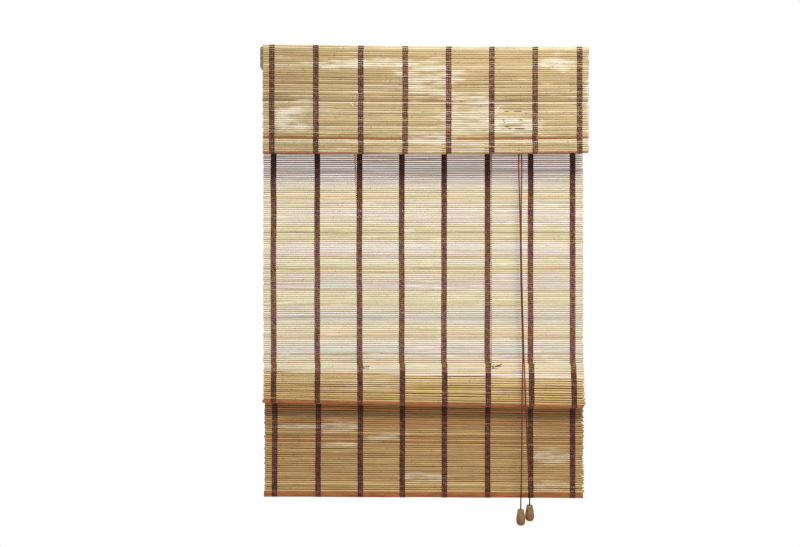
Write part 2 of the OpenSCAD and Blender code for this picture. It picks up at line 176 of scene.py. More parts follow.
# Main mat: split bamboo reeds laid side by side and bound by eight woven bands of brown yarn.
# It is one layer, stapled to the rail's back, and the white behind shows between its reeds.
mat_w = 0.600
reed_pitch = 0.004
reed_h = 0.00296
reed_t = 0.0019
band_step = 0.566 / 7
# The bands were laid in by hand, so each strays a little from an even spacing.
band_strays = [0.0026, 0.0038, 0.0025, 0.0011, -0.0003, 0.0005, 0.0008, -0.0010]
bands = [(k - 3.5) * band_step + stray for k, stray in enumerate(band_strays)]
main_y = 0.0141
main_top = -0.002
tie_z = -0.590
fold_z = -0.669


def run_along(points):
    """How far along a line each of its points lies."""
    return np.concatenate([[0], np.cumsum(np.linalg.norm(np.diff(points, axis=0), axis=1))])


def hang(path, x, s_along, off, tilt):
    """Points at lengths s_along on a mat's middle line, pushed off to its front and moved by the tilt."""
    beyond, step = 0.01, 2e-4
    before = path[0] + beyond * (path[0] - path[1]) / np.linalg.norm(path[0] - path[1])
    after = path[-1] + beyond * (path[-1] - path[-2]) / np.linalg.norm(path[-1] - path[-2])
    line = np.concatenate([[before], path, [after]])
    run = run_along(line) - beyond
    y, z = (np.interp(s_along, run, line[:, k]) for k in (0, 1))
    ahead = np.stack([
        np.interp(s_along + step, run, line[:, k]) - np.interp(s_along - step, run, line[:, k])
        for k in (0, 1)
    ])
    ahead /= np.linalg.norm(ahead, axis=0)
    y, z = y + off * ahead[1], z - off * ahead[0]
    return np.stack([np.broadcast_to(x, y.shape), y, z + tilt(x, y, z)], axis=-1)


def folds_tilt(x, y, z):
    """How much lower the folds hang to the right: they were drawn up unevenly, the hidden loop most."""
    front = np.interp(z, [fold_z, -0.6622, -0.602], [0.0165, 0.0200, 0])
    behind = np.interp(z, [-0.845, fold_z, -0.612], [0.0045, 0.0165, 0.024])
    parting = np.interp(z, [fold_z, -0.620, -0.612, -0.605], [0.0083, 0.0112, 0.0122, 0.0300])
    return -x * np.where(y > parting, behind, front)


def finished(name, points, faces, material, smooth=True):
    """A mesh object at the origin, with its place in its mesh. Ends of more than four sides stay flat."""
    mesh = bpy.data.meshes.new(name)
    mesh.from_pydata(np.asarray(points).tolist(), [], [list(f) for f in faces])
    mesh.polygons.foreach_set("use_smooth", [smooth and len(f) < 5 for f in faces])
    mesh.materials.append(material)
    piece = bpy.data.objects.new(name, mesh)
    bpy.context.scene.collection.objects.link(piece)
    return piece


def set_values(piece, name, values):
    """A value for each point of a piece, which its material reads by the name."""
    piece.data.attributes.new(name, "FLOAT", "POINT").data.foreach_set("value", values)


def copies(faces, count, size):
    """The faces of a number of copies of a mesh with size points."""
    return [[v + i * size for v in face] for i in range(count) for face in faces]


def new_block(size):
    """A block of the size given, at the origin."""
    bpy.ops.object.select_all(action="DESELECT")
    bpy.ops.mesh.primitive_cube_add(size=1)
    block = bpy.context.object
    block.scale = size
    bpy.ops.object.transform_apply(scale=True)
    return block


def select_long_edges(piece, length):
    """Selects the edges that run along X, and opens the piece for editing."""
    bpy.ops.object.mode_set(mode="EDIT")
    bpy.ops.mesh.select_mode(type="EDGE")
    bpy.ops.mesh.select_all(action="DESELECT")
    bpy.ops.object.mode_set(mode="OBJECT")
    for edge in piece.data.edges:
        a, b = (piece.data.vertices[v].co.x for v in edge.vertices)
        edge.select = abs(a - b) > 0.5 * length
    bpy.ops.object.mode_set(mode="EDIT")


def bevel_along(piece, length, offset, segments):
    """Eases the edges that run along X."""
    select_long_edges(piece, length)
    bpy.ops.mesh.bevel(offset=offset, segments=segments, profile=0.5)
    bpy.ops.object.mode_set(mode="OBJECT")


def cut_along(piece, length, cuts):
    """Cuts the edges that run along X into equal lengths."""
    select_long_edges(piece, length)
    bpy.ops.mesh.subdivide(number_cuts=cuts)
    bpy.ops.object.mode_set(mode="OBJECT")


# One reed: a split bar with its edges eased, cut at the middles of the spans between the bands.
# A ring close to each end keeps the shading of its sides straight.
span_middles = np.array([-mat_w / 2] + [k * band_step for k in range(-3, 4)] + [mat_w / 2])
ring_count = len(span_middles)
end_inset = 0.0006
bar = new_block((1, 1, 1))
bevel_along(bar, 1, 0.2, 1)
cut_along(bar, 1, ring_count)
bar_points = np.array([v.co for v in bar.data.vertices])
bar_faces = [list(p.vertices) for p in bar.data.polygons]
bpy.data.objects.remove(bar)
bar_cut = np.round((bar_points[:, 0] + 0.5) * (ring_count + 1)).astype(int)
bar_ring = np.clip(bar_cut - 1, 0, ring_count - 1)
bar_inset = np.select([bar_cut == 1, bar_cut == ring_count], [end_inset, -end_inset], 0.0)


def lay_reeds(
    name, path, places, tints, tall, uneven, seed, material, x_shift=0.0, short=0.0, tilt=folds_tilt
):
    """Copies of the reed, laid at the places given along a mat's middle line, no two alike.

    Each reed has its own tint, and may have its own height and a right end broken short."""
    rng = np.random.default_rng(seed)
    tall, short = np.broadcast_to(tall, len(places)), np.broadcast_to(short, len(places))
    points = []
    for i, s in enumerate(places):
        high = tall[i] * rng.normal(1, 0.05)
        thick = reed_t * rng.normal(1, 0.06)
        wander = rng.normal(0, uneven, ring_count)
        taper = rng.normal(1, 0.05, ring_count)
        bow = rng.normal(0, 0.00012, ring_count)
        end_at = span_middles.copy()
        end_at[0] += rng.normal(0.0004, 0.0005)
        end_at[-1] += rng.normal(0.0012, 0.0005) - short[i]
        roll = rng.normal(0, 0.06)
        cy = bar_points[:, 1] * math.cos(roll) - bar_points[:, 2] * math.sin(roll)
        cz = bar_points[:, 1] * math.sin(roll) + bar_points[:, 2] * math.cos(roll)
        x = end_at[bar_ring] + bar_inset + x_shift
        along = s - cz * high * taper[bar_ring] + wander[bar_ring]
        points.append(hang(path, x, along, -cy * thick + bow[bar_ring], tilt))
    faces = copies(bar_faces, len(places), len(bar_points))
    piece = finished(name, np.concatenate(points), faces, material)
    set_values(piece, "tint", np.repeat(tints, len(bar_points)))
    return piece


def weave_bands(name, path, woven, shades, seed, material, lines=bands, tilt=folds_tilt, darker=0.0):
    """The warp: three columns to a band, each of two flat yarns that change faces after every reed.

    woven holds, for each reed and slat, the lengths along the middle line that the yarns pass on one face.
    shades are the darkest and the palest tint of the yarn, for the whole band or for each reed,
    and darker is what each band's tints are lowered by."""
    rng = np.random.default_rng(seed)
    sides, yarn_half_w, yarn_half_t, slant = 6, 0.00165, 0.00038, 0.0003
    column_step, drift_knots = 0.0035, 14
    s = np.concatenate(woven)
    order = np.concatenate([np.full(len(w), 1.0 if i % 2 == 0 else -1.0) for i, w in enumerate(woven)])
    lean = np.concatenate([np.linspace(-slant, slant, len(w)) for w in woven])
    angle = np.arange(sides) * 2 * np.pi / sides
    n = len(s)
    j, k = np.meshgrid(np.arange(n - 1) * sides, np.arange(sides), indexing="ij")
    m = (k + 1) % sides
    strip = np.stack([j + k, j + m, j + sides + m, j + sides + k], axis=-1).reshape(-1, 4)
    points, faces, tint = [], [], []
    base = 0
    for band, lowered in zip(lines, np.broadcast_to(darker, len(lines))):
        knots_at = np.linspace(s[0], s[-1], drift_knots)
        drift = np.interp(s, knots_at, rng.normal(0, 0.00025, drift_knots))
        for column in (-1, 0, 1):
            for side in (order, -order):
                x0 = band + column * column_step + drift + side * lean
                wide = yarn_half_w * rng.normal(1, 0.07, n)
                lift = side * (reed_t / 2 + 0.8 * yarn_half_t) + rng.normal(0, 0.00004, n)
                ring = [
                    hang(path, x0 + wide * math.cos(a), s, lift + yarn_half_t * math.sin(a), tilt)
                    for a in angle
                ]
                points.append(np.stack(ring, axis=1).reshape(-1, 3))
                faces += (strip + base).tolist()
                faces.append([base + i for i in reversed(range(sides))])
                faces.append([base + (n - 1) * sides + i for i in range(sides)])
                base += n * sides
                yarn_tint = rng.uniform(*shades, len(woven)) - lowered
                tint.append(np.repeat(yarn_tint, [len(w) * sides for w in woven]))
    piece = finished(name, np.concatenate(points), faces, material)
    set_values(piece, "tint", np.concatenate(tint))
    return piece


def reed_material(name, stops, pale, bleached, to_right=0.0, patches=()):
    """Split bamboo: a tint for each reed, slow patches and fine fibre lines along it, and a dark joint here
    and there. Bleached streaks keep to single reeds but come in clusters, most of them in the patches given
    as (x, z, half width, half height). The left end is darker by up to twice the share to_right."""
    material, tree, shader = new_material(name)
    tint = add_node(tree, "ShaderNodeAttribute", attribute_name="tint").outputs["Fac"]
    place = object_place(tree)
    across = add_node(tree, "ShaderNodeSeparateXYZ", {"Vector": place}).outputs["X"]
    # The noise and the joints along a reed start at a place of their own, set by its tint.
    start = add_node(tree, "ShaderNodeMath", {0: tint, 1: 913}, operation="MULTIPLY").outputs["Value"]
    own = add_node(tree, "ShaderNodeMath", {0: across, 1: 16, 2: start}, operation="MULTIPLY_ADD")
    own_place = own.outputs["Value"]
    reedwise = add_node(
        tree, "ShaderNodeTexNoise", {"W": own_place, "Scale": 1, "Detail": 3}, noise_dimensions="1D"
    ).outputs["Fac"]
    # The reeds are painted darker to the left: painted shade away from the lamp on the right, with some
    # sunning.
    rightward = add_node(tree, "ShaderNodeMath", {0: across, 1: 1.8, 2: 0.8}, operation="MULTIPLY_ADD")
    fibre = add_grain(tree, 2600, 260)["Fibre"]
    joints = add_node(
        tree, "ShaderNodeTexVoronoi", {"W": own_place, "Scale": 0.22}, voronoi_dimensions="1D"
    ).outputs["Distance"]
    joint_line = add_node(tree, "ShaderNodeMapRange", {
        "Value": joints, "From Min": 0.002, "From Max": 0.006, "To Min": 0.30, "To Max": 0.5,
    })
    colour = tinted(tree, ramp(tree, tint, stops), rightward.outputs["Value"], to_right)
    colour = tinted(tree, colour, reedwise, 0.13)
    colour = tinted(tree, colour, fibre, 0.06)
    colour = tinted(tree, colour, joint_line.outputs["Result"], 0.35)
    cluster = add_grain(tree, 240, 34)["Patch"]
    sunned = add_node(tree, "ShaderNodeMix", {"Factor": 0.5, "A": cluster, "B": reedwise}).outputs["Result"]
    for x, z, half_w, half_h in patches:
        about = add_node(tree, "ShaderNodeMapping", {
            "Vector": place, "Location": (x, 0, z), "Scale": (1.5 * half_w, 1, 1.4 * half_h),
        }, vector_type="TEXTURE").outputs["Vector"]
        fading = add_node(tree, "ShaderNodeTexGradient", {"Vector": about}, gradient_type="SPHERICAL")
        raised = add_node(tree, "ShaderNodeMapRange", {
            "Value": fading.outputs["Fac"], "From Max": 0.45, "To Max": 0.20,
        }).outputs["Result"]
        sunned = add_node(tree, "ShaderNodeMath", {0: raised, 1: sunned}, operation="ADD").outputs["Value"]
    where = add_node(tree, "ShaderNodeMapRange", {
        "Value": sunned, "From Min": 1 - bleached, "From Max": 1.18 - bleached, "To Max": 0.62,
    }).outputs["Result"]
    bleach = add_node(
        tree, "ShaderNodeMix", {"Factor": where, "A": colour, "B": paint(pale)}, data_type="RGBA"
    )
    set_inputs(tree, shader, {
        "Base Color": bleach.outputs["Result"],
        "Roughness": 0.5,
        "Specular IOR Level": 0.35,
        "Normal": bump(tree, fibre, 0.0002, 0.25),
    })
    return material


# Each mat has its own copy of the reed colours, painted by the light it gets. The main mat's copy is the
# palest, painted backlight where one layer hangs against the white, and its two lowest stops are the lilac
# grey painted in the valance's shadow, painted shade.
straw_reed = reed_material(
    "straw_reed",
    [(0.0, "#D9BCA6"), (0.03, "#D9BCA6"), (0.06, "#A88857"), (0.15, "#BEA474"),
     (0.45, "#CBB689"), (0.75, "#D5C399"), (0.96, "#DED0AB")],
    "#F2ECDD", 0.43,
)
warp_yarn, tree, shader = new_material("warp_yarn")
yarn_tint = add_node(tree, "ShaderNodeAttribute", attribute_name="tint").outputs["Fac"]
yarn_colour = ramp(tree, yarn_tint, [(0.0, "#3F1D16"), (0.5, "#66382B"), (1.0, "#9A6A5A")])
fuzz = add_node(tree, "ShaderNodeTexNoise", {"Vector": object_place(tree), "Scale": 2400}).outputs["Fac"]
set_inputs(tree, shader, {
    "Base Color": tinted(tree, yarn_colour, fuzz, 0.25),
    "Roughness": 0.9,
    "Normal": bump(tree, fuzz, 0.0003, 0.7),
})

main_path = np.array([[main_y, main_top], [main_y, tie_z]])
rail_reeds = 11
main_reeds = 147
main_places = (np.arange(main_reeds) + 0.5) * reed_pitch
yarn_flat, yarn_lap = 0.00085, 0.0002


def passes(places):
    """The lengths along a mat that a yarn passes on one face, at each of its reeds."""
    return [(s - yarn_flat, s + yarn_flat) for s in places]


main_woven = passes(main_places)
main_woven[-1] = (main_woven[-1][0], main_top - tie_z + yarn_lap)
# The mat is parted under the rail, where the part that gathers begins, and its yarns meet there.
parting = rail_reeds * reed_pitch
main_woven[rail_reeds - 1] = (main_woven[rail_reeds - 1][0], parting + yarn_lap)
main_woven[rail_reeds] = (parting - yarn_lap, main_woven[rail_reeds][1])
grey_to, shadow_end_pale_to = 0.236, 0.256
for part, first, last in (("head", 0, rail_reeds), ("fall", rail_reeds, main_reeds)):
    places = main_places[first:last]
    # The reeds in the valance's shadow are painted the lilac grey of that shade, painted shade, and a few
    # below it are painted paler, painted light where the shadow ends.
    tints = np.random.default_rng(13 + first).uniform(np.where(places > shadow_end_pale_to, 0.06, 0.7), 0.96)
    tints[places < grey_to] *= 0.03
    reeds = lay_reeds(
        f"main_mat_{part}_reeds", main_path, places, tints, reed_h, 0.00015, 11 + first, straw_reed
    )
    # The bands are painted darker towards the top: painted shade where the valance shades them.
    darkest = np.interp(places, [0.21, 0.28, 0.42], [0.0, 0.3, 0.55])
    shades = darkest, darkest + 0.45
    yarns = weave_bands(
        f"main_mat_{part}_bands", main_path, main_woven[first:last], shades, 21 + first, warp_yarn
    )
    for piece, node, finish in ((reeds, "main_mat", "reed"), (yarns, "main_bands", "yarn")):
        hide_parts(node)
        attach(piece, "rail")
        if part == "fall":
            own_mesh(piece)


# Lower mat: the same mat carried on below the tie line. It comes forward as a pleat, turns up behind it
# round a slat, loops over out of sight and hangs as a doubled tail round a second slat.
pleat_y, inner_y, loop_y, tail_y, back_y = 0.0061, 0.01058, 0.01518, 0.02094, 0.02542
fold_r, top_r = 0.00224, 0.00288
turn_z, pleat_slat_z, loop_z = -0.66516, -0.66216, -0.61598
hem_z, bottom_slat_z, back_end_z = -0.84116, -0.83396, -0.61998


def turn(y, z, r, start, stop, steps=8):
    """Points of a fold about (y, z)."""
    a = np.radians(np.linspace(start, stop, steps))
    return np.stack([y + r * np.cos(a), z + r * np.sin(a)], axis=1)


warp_path = np.concatenate([
    [[main_y, tie_z], [pleat_y + 0.0016, -0.6245], [pleat_y, pleat_slat_z], [pleat_y, turn_z]],
    turn(pleat_y + fold_r, turn_z, fold_r, 200, 340),
    [[inner_y, turn_z], [loop_y, loop_z]],
    turn(loop_y + top_r, loop_z, top_r, 165, 0),
    [[tail_y, hem_z]],
    turn(tail_y + fold_r, hem_z, fold_r, 200, 340),
    [[back_y, hem_z], [back_y, back_end_z]],
])
warp_run = run_along(warp_path)
pleat_top_s, pleat_end_s, inner_s, tail_end_s, back_s = (
    warp_run[int(np.argmin(np.abs(warp_path - corner).sum(axis=1)))]
    for corner in (
        (pleat_y, pleat_slat_z), (pleat_y, turn_z), (inner_y, turn_z), (tail_y, hem_z), (back_y, hem_z)
    )
)
tail_top_s = tail_end_s - (bottom_slat_z - hem_z)


def evenly(start, stop):
    """Middles of the reeds that fill a stretch of the mat at about their usual spacing."""
    n = round((stop - start) / reed_pitch)
    return start + (np.arange(n) + 0.5) * (stop - start) / n


tail_places = evenly(inner_s, tail_top_s)
# The back layer's reeds lie behind the gaps of the tail, so little light comes through both.
past_loop = 0.06
tail_z = np.interp(tail_places, warp_run, warp_path[:, 1])[tail_places > inner_s + past_loop]
back_z = ((tail_z[:-1] + tail_z[1:]) / 2)[::-1]
back_z = back_z[back_z < back_end_z - 0.002] - 0.001
back_places = back_s + back_z - hem_z
lower_places = np.concatenate([evenly(0, pleat_top_s), tail_places, back_places])
lower_woven = passes(lower_places)
for top, end, far in ((pleat_top_s, pleat_end_s, inner_s), (tail_top_s, tail_end_s, back_s)):
    round_slat = np.concatenate([np.linspace(top + 0.0006, end, 3), np.linspace(end, far, 8)[1:]])
    lower_woven.append(tuple(round_slat))
lower_woven = sorted(lower_woven)
lower_woven[0] = (0.0, lower_woven[0][1])
lower_shift = 0.0012
# The lower mat's copy of the reed colours, painted darker and more orange than the main mat's: painted
# shade on its doubled layers. Its lowest stops are the dark and the deep orange painted in the fold's and
# the pleat's shadow, and its top stops are the pale painted where one layer hangs against the light.
shaded_reed = reed_material(
    "shaded_reed",
    [(0.0, "#6E4E28"), (0.02, "#E6954A"), (0.14, "#C68A4C"), (0.17, "#AC8350"), (0.35, "#B58F5B"),
     (0.55, "#BE9A63"), (0.75, "#CFAA6B"), (0.96, "#DCBF87"), (0.97, "#C1AD81"), (1.0, "#CDBC95")],
    "#E4D6B8", 0.40, 0.04,
    [(-0.160, -0.711, 0.036, 0.012), (-0.071, -0.732, 0.036, 0.011), (-0.164, -0.743, 0.034, 0.005),
     (-0.239, -0.711, 0.036, 0.005), (0.246, -0.768, 0.040, 0.013), (0.248, -0.823, 0.034, 0.011),
     (0.0, -0.805, 0.042, 0.012), (-0.08, -0.628, 0.050, 0.010)],
)
# The pleat is painted paler towards its top: painted light where no loop lies behind it and light comes
# through. The tail is painted brown where the pleat shades it, painted shade, and paler towards its hem.
lower_z = np.interp(lower_places, warp_run, warp_path[:, 1])
on_pleat = lower_places < pleat_top_s
rng = np.random.default_rng(33)
tail_tints = np.interp(lower_z, [-0.834, -0.745, -0.695, -0.680, fold_z], [0.60, 0.40, 0.22, 0.06, 0.03])
pleat_tints = np.interp(lower_z, [-0.660, -0.640, -0.612], [0.70, 0.80, 1.0])
lower_tints = np.where(on_pleat, pleat_tints, tail_tints)
lower_tints = lower_tints + rng.normal(0, 0.13, len(lower_z)) * np.where(on_pleat, 1.0, 1.35)
# Only the reeds in the pleat's shadow are painted the deep orange of the ramp's low end: painted shade.
shade_z = -0.702
lower_tints = np.clip(lower_tints, np.where(lower_z < shade_z, 0.17, 0.02), 0.96)
# Above the fold one layer hangs against the light, painted as pale as the main mat: painted backlight.
single_run = 0.017
single = lower_places < single_run
lower_tints[single] = rng.uniform(0.97, 1.0, single.sum())
# Out of the light, between the legs of the fold and behind the tail, the mat is painted dark: painted
# shade.
in_fold = ~on_pleat & (lower_z > fold_z)
lower_tints[in_fold] = np.interp(lower_z[in_fold], [-0.645, -0.625], [0.0, 0.4])
lower_tints[lower_places > tail_end_s] = rng.uniform(0.002, 0.013, len(back_places))
# One reed of the tail is rust brown, and the tail's right end is ragged.
rust_z = -0.741
lower_tints[np.abs(lower_z - rust_z) < reed_pitch / 2] = 0.007
worn_short = np.where(on_pleat, 0, np.abs(rng.normal(0, 0.0022, len(lower_z))) - 0.0028)
lower_tall = np.where(on_pleat, 0.0029, 0.0031)
lower_reeds = lay_reeds(
    "lower_mat_reeds", warp_path, lower_places, lower_tints, lower_tall, 0.0002, 31, shaded_reed,
    lower_shift, short=worn_short,
)
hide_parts("lower_mat")
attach(lower_reeds, "folds")
lower_lines = [x + lower_shift for x in bands]
woven_single = np.array([w[0] for w in lower_woven]) < single_run
# The yarn is painted paler where one layer hangs against the light and darker on the folds and the tail:
# painted light and shade.
lower_shades = np.where(woven_single, 0.5, 0.0), np.where(woven_single, 1.0, 0.6)
lower_yarns = weave_bands(
    "lower_mat_bands", warp_path, lower_woven, lower_shades, 41, warp_yarn, lower_lines
)
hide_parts("lower_bands")
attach(lower_yarns, "folds")


# Slats: flat strips of darker stained bamboo, woven in as wide reeds.
# They stiffen the pleat's edge, the blind's lower edge and the valance's edge.
stained_slat, tree, shader = new_material("stained_slat")
streaks = add_grain(tree, 1500, 220)
stain = ramp(tree, streaks["Patch"], [(0.28, "#764019"), (0.50, "#A15E29"), (0.75, "#B4723B")])
set_inputs(tree, shader, {
    "Base Color": tinted(tree, stain, streaks["Fibre"], 0.2),
    "Roughness": 0.42,
    "Normal": bump(tree, streaks["Fibre"], 0.0003, 0.5),
})


def split_slat(
    name, node, y, z_low, z_high, thick, body, seed, x_shift=0.0, tilt=folds_tilt, taper=0.0, proud=0.0
):
    """A bar with eased edges, cut along its length and bent a little as split bamboo is.

    It may be taller to the right by the taper, and stand proud of the mat's solid at its right end."""
    piece = new_block((mat_w, thick, z_high - z_low))
    piece.name = piece.data.name = name
    bevel_along(piece, mat_w, thick * 0.3, 3)
    cut_along(piece, mat_w, 24)
    rng = np.random.default_rng(seed)
    at = np.linspace(-0.31, 0.31, 9)
    drop, width = rng.normal(0, 0.0002, 9), rng.normal(1, 0.04, 9)
    co = np.array([v.co for v in piece.data.vertices])
    x = co[:, 0] + x_shift + proud * (co[:, 0] / mat_w + 0.5)
    z = (z_low + z_high) / 2 + co[:, 2] * np.interp(co[:, 0], at, width) + np.interp(co[:, 0], at, drop)
    z = z + np.where(co[:, 2] > 0, taper * co[:, 0], 0)
    co = np.stack([x, y + co[:, 1], z + tilt(x, y + co[:, 1], z)], axis=1)
    piece.data.vertices.foreach_set("co", co.ravel())
    bpy.ops.object.shade_smooth_by_angle(angle=math.radians(40))
    piece.data.materials.append(stained_slat)
    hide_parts(node)
    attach(piece, body)


slat_t = 0.0020
slat_below = 0.0027
split_slat("pleat_edge_slat", "pleat_slat", pleat_y, turn_z - slat_below, pleat_slat_z, slat_t, "folds", 51)
split_slat(
    "lower_edge_slat", "bottom_slat", tail_y, hem_z - slat_below, bottom_slat_z + 0.0006, slat_t,
    "folds", 52, taper=0.0012, proud=0.003,
)


# Valance: a short mat of the same weave in front of the rail, its top end laid round the rail's front edge.
# It hangs free below the rail and hides the screw eyes and the cord lock.
valance_shift = 0.004


def valance_tilt(x, y, z):
    """How the valance sags: it was laid on the rail out of square, and its lower edge bows."""
    at = [-0.30, -0.20, -0.08, 0.08, 0.25, 0.31]
    top = np.interp(x, at, [0.0034, 0.0024, 0.0008, -0.0006, -0.0009, -0.0008])
    foot = np.interp(x, at, [0.0010, 0.0004, -0.0010, -0.0014, 0.0006, 0.0012])
    return foot + (top - foot) * np.interp(z, [-0.2, 0], [0, 1])


valance_y = -0.01415
valance_z = -0.200
hem_slat_h = 0.0026
valance_path = np.concatenate([turn(-0.0045, -0.008, 0.00965, 138, 180), [[valance_y, valance_z]]])
valance_run = float(np.linalg.norm(np.diff(valance_path, axis=0), axis=1).sum())
valance_places = evenly(0.0, valance_run - hem_slat_h)
chip_tint, rust_tint = 0.975, 1.0
# The valance's copy of the reed colours is painted between the main mat's and the lower mat's: painted
# light for a layer lit from the front, with the rail and the main mat behind it.
valance_reed = reed_material(
    "valance_reed",
    [(0.0, "#836536"), (0.10, "#A38656"), (0.45, "#B69E6F"), (0.75, "#C1AD82"), (0.96, "#CEBF9B"),
     (chip_tint, "#F6F0E0"), (rust_tint, "#9A5C29")],
    "#EDE5D0", 0.41, 0.09,
    [(-0.240, -0.138, 0.032, 0.019), (-0.157, -0.0345, 0.045, 0.008), (-0.076, -0.032, 0.050, 0.009),
     (0.010, -0.064, 0.050, 0.040), (0.086, -0.125, 0.050, 0.036), (0.169, -0.149, 0.042, 0.018),
     (0.245, -0.034, 0.034, 0.010), (0.005, -0.172, 0.046, 0.011), (0.311, -0.100, 0.010, 0.090),
     (-0.305, -0.140, 0.009, 0.045)],
)
rail_cover, hem_part, rust_up = 0.052, 0.026, 0.030
on_rail = valance_places < rail_cover
above_hem = valance_places > valance_run - hem_part
palest = np.where(on_rail, 0.85, 0.96)
darkest = np.where(above_hem, 0.4, np.where(on_rail, 0.2, 0.01))
valance_tints = np.random.default_rng(63).uniform(darkest, palest)
# One reed above the lower edge is rust brown.
rust_reed = int(np.argmin(np.abs(valance_places - (valance_run - rust_up))))
valance_tints[rust_reed] = rust_tint
# The reeds on the rail are pressed together, and those below it hang a little apart.
valance_tall = np.where(on_rail, 0.0040, 0.0036)
valance_reeds = lay_reeds(
    "valance_reeds", valance_path, valance_places, valance_tints, valance_tall, 0.0002, 61, valance_reed,
    valance_shift, tilt=valance_tilt,
)
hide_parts("valance_mat")
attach(valance_reeds, "rail")
# Age: a ring of short splits between its reeds near the cords, each drawn as a dark bar of painted shadow,
# the shade that shows through such a gap, and a few pale chips.
split_shadow_paint, tree, shader = new_material("split_shadow_paint")
split_fibre = add_grain(tree, 1500, 220)["Fibre"]
set_inputs(tree, shader, {
    "Base Color": ramp(tree, split_fibre, [(0.3, "#1E130A"), (0.7, "#432B16")]),
    "Roughness": 0.8,
})
# Each mark is given as its place across, its length, its place down the mat and its height.
splits = [
    (0.154, 0.0080, 0.1192, 0.0013), (0.1745, 0.0150, 0.1192, 0.0015), (0.1895, 0.0045, 0.1232, 0.0012),
    (0.148, 0.0040, 0.1340, 0.0011), (0.1805, 0.0060, 0.1340, 0.0011), (0.150, 0.0040, 0.1392, 0.0012),
    (0.155, 0.0060, 0.1468, 0.0016), (0.160, 0.0065, 0.1505, 0.0017), (0.1775, 0.0185, 0.1505, 0.0021),
]
chips = [(-0.133, 0.0035, 0.108, 0.0024), (-0.130, 0.0030, 0.112, 0.0024), (0.138, 0.0040, 0.116, 0.0024)]
# Every mark is lower at its ends than in its middle.
swell = 0.15 + 0.85 * np.sqrt(np.sin(np.pi * np.clip(bar_points[:, 0] + 0.5, 0, 1)).clip(0))
for name, marks, below, thick, forward, material in (
    ("valance_split_shadows", splits, reed_pitch / 2, 0.0020, 0.0002, split_shadow_paint),
    ("valance_chips", chips, 0, 0.0016, 0.0005, valance_reed),
):
    mark_points = []
    for x, length, drop, tall in marks:
        place = valance_places[int(np.argmin(np.abs(valance_places - drop)))] + below
        across, along = x + bar_points[:, 0] * length, place - bar_points[:, 2] * tall * swell
        off = forward - bar_points[:, 1] * thick
        mark_points.append(hang(valance_path, across, along, off, valance_tilt))
    mark_faces = copies(bar_faces, len(marks), len(bar_points))
    piece = finished(name, np.concatenate(mark_points), mark_faces, material)
    set_values(piece, "tint", np.full(len(piece.data.vertices), chip_tint))
    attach(piece, "rail")
valance_woven = passes(valance_places) + [(valance_run - hem_slat_h + 0.0004, valance_run - 0.0001)]
valance_strays = [0.0002, 0.0004, 0.0024, 0.0034, 0.0026, 0.0012, 0.0003, 0.0014]
valance_lines = [(k - 3.5) * band_step + valance_shift + stray for k, stray in enumerate(valance_strays)]
# The bands to the left are painted darker: painted shade away from the lamp on the right.
left_painted_shade = np.interp(valance_lines, [-0.28, -0.11, 0.0], [0.27, 0.22, 0.0])
valance_yarns = weave_bands(
    "valance_bands_woven", valance_path, valance_woven, (0.2, 0.9), 71, warp_yarn,
    valance_lines, valance_tilt, left_painted_shade,
)
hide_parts("valance_bands")
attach(valance_yarns, "rail")
split_slat(
    "valance_edge_slat", "valance_slat", valance_y, valance_z, valance_z + hem_slat_h, 0.0019, "rail", 53,
    valance_shift, valance_tilt,
)


# Screw eyes and cord lock: zinc plated wire eyes, and a folded sheet housing with a fixed bar
# and a knurled roller that drops against the cords. All are screwed under the rail.
zinc, tree, shader = new_material("zinc_plate")
spangle = add_node(
    tree, "ShaderNodeTexVoronoi", {"Vector": object_place(tree), "Scale": 420}
).outputs["Distance"]
zinc_rough = add_node(tree, "ShaderNodeMapRange", {"Value": spangle, "To Min": 0.28, "To Max": 0.48})
set_inputs(tree, shader, {
    "Base Color": ramp(tree, spangle, [(0.0, "#8E8F8C"), (0.6, "#A9AAA6"), (1.0, "#BCBDB8")]),
    "Roughness": zinc_rough.outputs["Result"],
    "Metallic": 1.0,
})
knurled, tree, shader = new_material("knurled_zinc")
# The knurl is painted darker in its grooves and lighter on its ridges: painted shade.
knurl = add_node(
    tree, "ShaderNodeTexWave", {"Vector": object_place(tree), "Scale": 700, "Distortion": 0.4},
    wave_type="RINGS", rings_direction="Y",
).outputs["Fac"]
set_inputs(tree, shader, {
    "Base Color": ramp(tree, knurl, [(0.0, "#6E6F6C"), (1.0, "#B4B5B0")]),
    "Roughness": 0.4,
    "Metallic": 1.0,
    "Normal": bump(tree, knurl, 0.0006, 1.0),
})
for name in ("screw_eye_left", "screw_eye_right", "lock_housing", "guide_bar", "lock_screws"):
    coat(name, zinc)
coat("pinch_roller", knurled)


# Staples: flat zinc plated wire, driven through the main mat's warp bands into the rail's back.
# The valance has none that show, so it is taken to be glued to the rail's front.
staple_w, staple_leg, wire_w, wire_t = 0.012, 0.007, 0.0012, 0.0006
staple_y, staple_z = main_y + 0.0021, -0.020
staple = new_block((staple_w, wire_t, wire_w))
cut_along(staple, staple_w, 2)
for vertex in staple.data.vertices:
    if abs(vertex.co.x) < 0.4 * staple_w:
        vertex.co.x = math.copysign(staple_w / 2 - wire_t, vertex.co.x)
for side in (-1, 1):
    for face in staple.data.polygons:
        face.select = face.normal.y < -0.5 and side * face.center.x > 0.4 * staple_w
    for edge in staple.data.edges:
        edge.select = False
    bpy.ops.object.mode_set(mode="EDIT")
    bpy.ops.mesh.select_mode(type="FACE")
    bpy.ops.mesh.extrude_region_move(TRANSFORM_OT_translate={"value": (0, -staple_leg, 0)})
    bpy.ops.mesh.select_all(action="DESELECT")
    bpy.ops.object.mode_set(mode="OBJECT")
staple_points = np.array([v.co for v in staple.data.vertices])
staple_faces = [list(p.vertices) for p in staple.data.polygons]
bpy.data.objects.remove(staple)
wire_points = np.concatenate([staple_points + [x, staple_y, staple_z] for x in bands])
